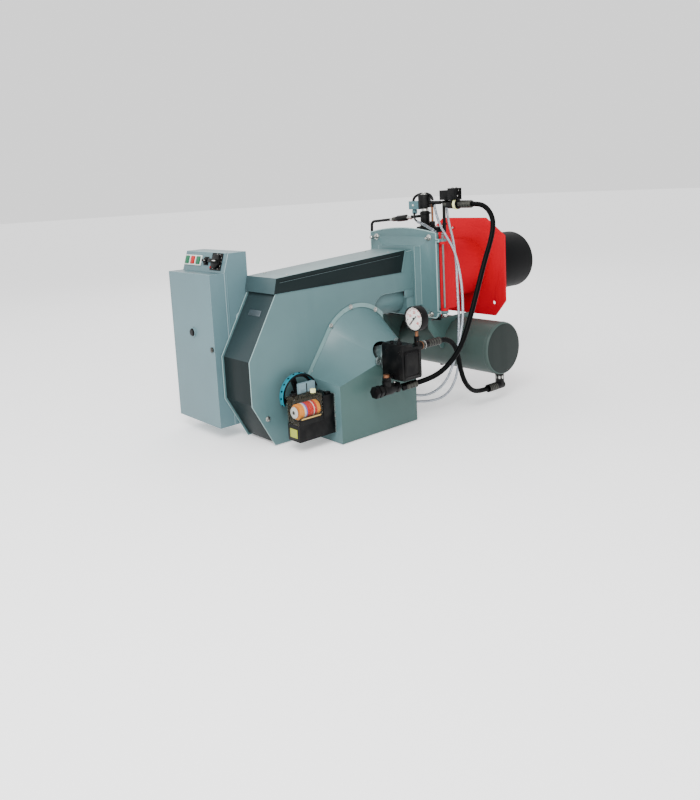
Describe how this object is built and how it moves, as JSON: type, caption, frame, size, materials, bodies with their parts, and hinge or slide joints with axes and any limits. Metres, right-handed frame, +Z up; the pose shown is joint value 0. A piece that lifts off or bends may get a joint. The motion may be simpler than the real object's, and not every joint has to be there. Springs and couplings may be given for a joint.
{
  "type": "heavy oil burner",
  "caption": "Heavy oil burner with a blast tube on a hinged boiler flange, fan housing, pump, preheater, air servo and switch cabinet.",
  "frame": {"origin": "centre of the blast tube in the plane of the boiler face", "axes": "+X firing direction into the boiler, +Y away from the hinge side, +Z up"},
  "size_m": [1.343, 0.736, 0.734],
  "materials": {
    "red_paint": "gloss",
    "heat_black": "matte",
    "grey_paint": "semi-gloss hammer paint",
    "dark_paint": "semi-gloss",
    "cabinet_paint": "semi-gloss",
    "black_steel": "semi-gloss",
    "bare_steel": "satin",
    "stainless": "satin",
    "aluminium_cast": "as cast",
    "copper": "satin",
    "seal_black": "matte",
    "black_plastic": "matte",
    "clear_plastic": "clear",
    "hose_rubber": "matte",
    "conduit_grey": "satin",
    "cam_plastic": "gloss",
    "teal_plastic": "semi-gloss",
    "lamp_plastic": "gloss",
    "cream_plastic": "semi-gloss",
    "dial_white": "semi-gloss",
    "dial_ink": "matte",
    "gauge_glass": "clear",
    "blank_plate": "satin"
  },
  "bodies": {
    "root": {"mounting_plate": "red_paint", "blast_tube": "heat_black", "windbox_frame": "red_paint", "diffuser": "stainless", "nozzle_lance": "bare_steel", "lance_spider": "bare_steel", "hinge_pin": "black_steel", "hinge_nut": "black_steel"},
    "burner": {"burner_flange": "grey_paint", "flange_seal": "seal_black", "clamp_screws": "bare_steel", "near_side_plate": "grey_paint", "far_side_plate": "grey_paint", "housing_wrapper": "dark_paint", "outlet_duct": "grey_paint", "top_cover": "dark_paint", "intake_hood": "grey_paint", "inlet_ring": "bare_steel", "motor_body": "grey_paint", "motor_cowl": "grey_paint", "pump_bracket": "aluminium_cast", "oil_pump": "black_steel", "return_fitting": "black_steel", "gauge_stem": "copper", "gauge_case": "black_steel", "outlet_valve": "black_steel", "outlet_nut": "copper", "servo_body": "black_plastic", "servo_lid": "clear_plastic", "servo_bracket": "bare_steel", "preheater_tank": "grey_paint", "tank_saddles": "grey_paint", "tank_elbow": "black_steel", "valve_block": "black_steel", "solenoid_valve": "black_steel", "solenoid_coil": "black_plastic", "copper_riser": "copper", "pressure_switch": "black_plastic", "hose_union": "black_steel", "heater_pipe": "black_steel", "feed_hose": "hose_rubber", "return_hose": "hose_rubber", "upper_conduit": "conduit_grey", "lower_conduit": "conduit_grey", "conduit_glands": "bare_steel", "feed_ferrule": "black_steel", "cabinet_box": "cabinet_paint", "cabinet_hinges": "cabinet_paint", "console_lamps": "lamp_plastic"},
    "damper": {"damper_blade": "bare_steel", "cam_drum": "cam_plastic"},
    "sector": {"cam_sector": "teal_plastic"},
    "fan_rotor": {"fan_impeller": "aluminium_cast", "fan_shaft": "bare_steel"},
    "needle": {"gauge_needle": "black_plastic"},
    "cabinet_door": {"cabinet_door": "cabinet_paint"},
    "reset_button": {"reset_button": "black_plastic"},
    "door_lock": {"door_lock": "black_steel"},
    "selector_knob": {"selector_knob": "black_plastic"},
    "main_switch": {"main_switch": "black_plastic"}
  },
  "joints": [
    {"name": "burner_swing", "type": "hinge", "parent": "root", "child": "burner", "pos_m": [-0.315, -0.171, 0], "axis": [0, 0, 1], "range_deg": [0, 90]},
    {"name": "damper_turn", "type": "hinge", "parent": "burner", "child": "damper", "pos_m": [-0.9, -0.167, -0.318], "axis": [1, 0, 0], "range_deg": [0, 90]},
    {"name": "sector_turn", "type": "hinge", "parent": "burner", "child": "sector", "pos_m": [-0.9, -0.109, -0.287], "axis": [0, 1, 0], "range_deg": [0, 90]},
    {"name": "fan_spin", "type": "hinge", "parent": "burner", "child": "fan_rotor", "pos_m": [-0.626, 0, -0.21], "axis": [0, 1, 0], "continuous": true},
    {"name": "needle_turn", "type": "hinge", "parent": "burner", "child": "needle", "pos_m": [-0.606, -0.306, -0.084], "axis": [1, 0, 0], "range_deg": [0, 270]},
    {"name": "door_swing", "type": "hinge", "parent": "burner", "child": "cabinet_door", "pos_m": [-1.0124, 0.334, 0], "axis": [0, 0, -1], "range_deg": [0, 100]},
    {"name": "button_press", "type": "slide", "parent": "cabinet_door", "child": "reset_button", "axis": [1, 0, 0], "range_m": [0, 0.004], "stiffness_N_per_m": 400},
    {"name": "lock_turn", "type": "hinge", "parent": "cabinet_door", "child": "door_lock", "pos_m": [-1.064, 0.093, -0.149], "axis": [-1, 0, 0], "range_deg": [0, 90]},
    {"name": "selector_turn", "type": "hinge", "parent": "burner", "child": "selector_knob", "pos_m": [-1.0018, 0.194, 0.11038], "axis": [-0.9511, 0, 0.309], "range_deg": [0, 90]},
    {"name": "main_switch_turn", "type": "hinge", "parent": "burner", "child": "main_switch", "pos_m": [-1.0018, 0.133, 0.11038], "axis": [-0.9511, 0, 0.309], "range_deg": [0, 90]}
  ],
  "couplings": [
    {"joint": "sector_turn", "follows": "damper_turn", "ratio": 1}
  ]
}
